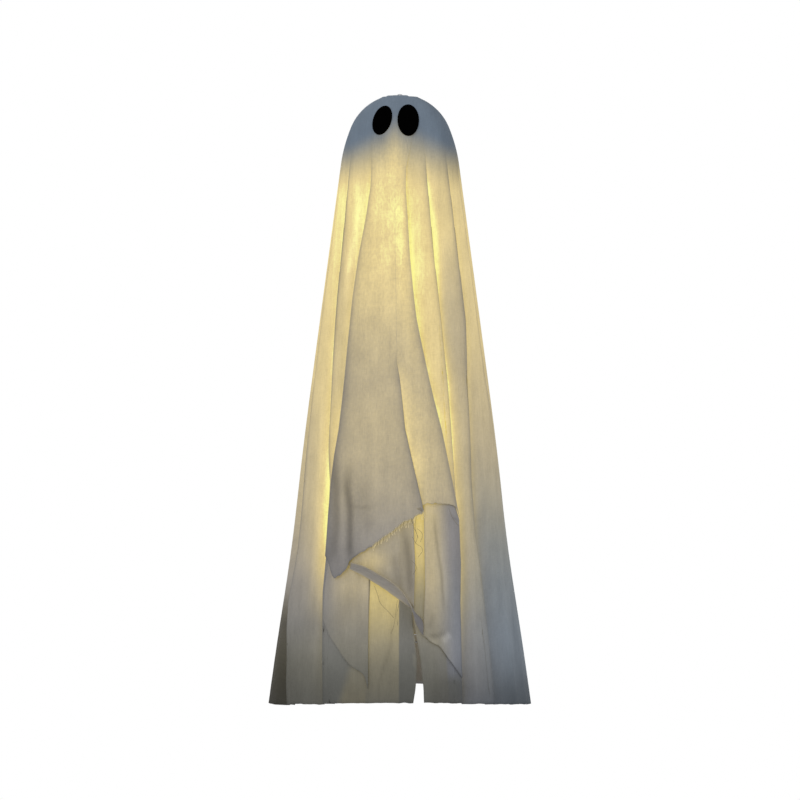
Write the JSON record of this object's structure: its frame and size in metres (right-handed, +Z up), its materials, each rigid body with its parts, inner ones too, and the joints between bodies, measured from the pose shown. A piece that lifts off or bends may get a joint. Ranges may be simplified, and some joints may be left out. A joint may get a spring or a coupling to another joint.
{
  "type": "light-up hanging ghost",
  "caption": "Hanging cloth ghost with felt eyes: muslin over a moulded head and a wire cone, lit from inside by a wound string of lamp beads with its battery box under the head.",
  "frame": {"origin": "pivot of the hanging ring, on the ghost's vertical axis in the crown", "axes": "+Z up, -Y the way the face looks, +X to the ghost's left as it faces out"},
  "size_m": [0.3934, 0.3897, 0.9144],
  "materials": {
    "muslin": "plain unbleached cotton muslin, matt, lets warm light through",
    "black_felt": "pressed black felt, matt",
    "zinc_steel": "zinc plated",
    "frame_wire": "galvanised wire, dull",
    "shell_plastic": "moulded, opaque, fine texture",
    "box_plastic": "moulded, white",
    "black_plastic": "moulded, black",
    "cell_jacket": "plain shrink sleeve",
    "board_green": "solder mask",
    "string_copper": "clear enamel over copper, clear lamp beads, warm white"
  },
  "bodies": {
    "root": {"main_cloth": "muslin", "front_panel": "muslin", "lining_panel": "muslin", "eye_left": "black_felt", "eye_right": "black_felt", "crown_plate": "zinc_steel", "crown_washer": "zinc_steel", "base_screw_1": "zinc_steel", "base_screw_2": "zinc_steel", "base_screw_3": "zinc_steel", "box_screw_1": "zinc_steel", "box_screw_2": "zinc_steel", "lid_hinge_pin": "zinc_steel", "upper_contact": "zinc_steel", "lower_contact": "zinc_steel", "cell_spring_1": "zinc_steel", "cell_spring_2": "zinc_steel", "cell_spring_3": "zinc_steel", "upright_1": "frame_wire", "upright_2": "frame_wire", "upright_3": "frame_wire", "upright_4": "frame_wire", "hoop_1": "frame_wire", "hoop_2": "frame_wire", "hoop_3": "frame_wire", "hoop_4": "frame_wire", "head_shell": "shell_plastic", "head_base": "shell_plastic", "battery_box": "box_plastic", "switch_body": "black_plastic", "lead_bushing": "black_plastic", "cell_1": "cell_jacket", "cell_2": "cell_jacket", "cell_3": "cell_jacket", "circuit_board": "board_green", "light_string": "string_copper"},
    "swivel": {"swivel_eye": "zinc_steel", "lock_nut": "zinc_steel"},
    "ring": {"hanging_ring": "zinc_steel"},
    "lid": {"battery_lid": "box_plastic", "lid_screw": "zinc_steel"},
    "slider": {"switch_slider": "black_plastic"}
  },
  "joints": [
    {"name": "crown_swivel", "type": "hinge", "parent": "root", "child": "swivel", "pos_m": [0, 0, 0], "axis": [0, 0, 1], "continuous": true},
    {"name": "ring_tilt", "type": "hinge", "parent": "swivel", "child": "ring", "pos_m": [0, 0, 0], "axis": [1, 0, 0], "range_deg": [0, 190]},
    {"name": "lid_swing", "type": "hinge", "parent": "root", "child": "lid", "pos_m": [0, 0.0027, -0.1113], "axis": [1, 0, 0], "range_deg": [0, 90]},
    {"name": "switch_travel", "type": "slide", "parent": "root", "child": "slider", "axis": [1, 0, 0], "range_m": [0, 0.004]}
  ]
}
